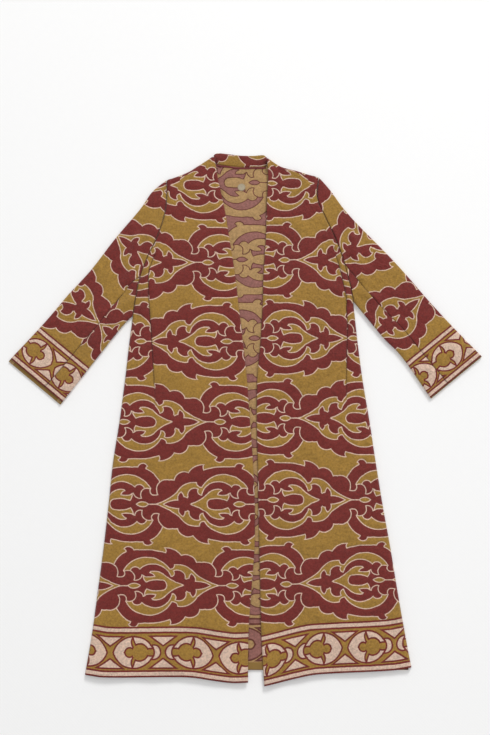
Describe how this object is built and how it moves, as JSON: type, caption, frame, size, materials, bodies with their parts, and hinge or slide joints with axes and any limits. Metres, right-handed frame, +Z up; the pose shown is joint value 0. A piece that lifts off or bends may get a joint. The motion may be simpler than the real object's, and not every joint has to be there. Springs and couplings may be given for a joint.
{
  "type": "quilted coat",
  "caption": "Long open-fronted quilted coat with set-in sleeves and a narrow stand collar, laid flat with its sleeves spread.",
  "frame": {"origin": "middle of the coat's box, on the surface that it lies on", "axes": "+X to the viewer's right, +Y from the hem to the collar, +Z up off the surface"},
  "size_m": [1.1336, 1.2812, 0.015],
  "materials": {
    "quilt_face": "quilted jacquard, maroon arabesque on an ochre ground",
    "quilt_reverse": "reverse of the jacquard, tan and mauve",
    "turn_up": "plain olive turned-up cloth",
    "neck_binding": "plain maroon binding",
    "blank_label": "plain pale woven patch"
  },
  "bodies": {
    "root": {"back": "quilt_reverse", "front_left": "quilt_face", "front_right": "quilt_face", "sleeve_left": "quilt_face", "sleeve_right": "quilt_face", "collar": "quilt_face", "neck_binding": "neck_binding", "neck_label": "blank_label", "hem_turnup_back": "turn_up", "cuff_turnup_left": "turn_up", "cuff_turnup_right": "turn_up"}
  },
  "joints": []
}
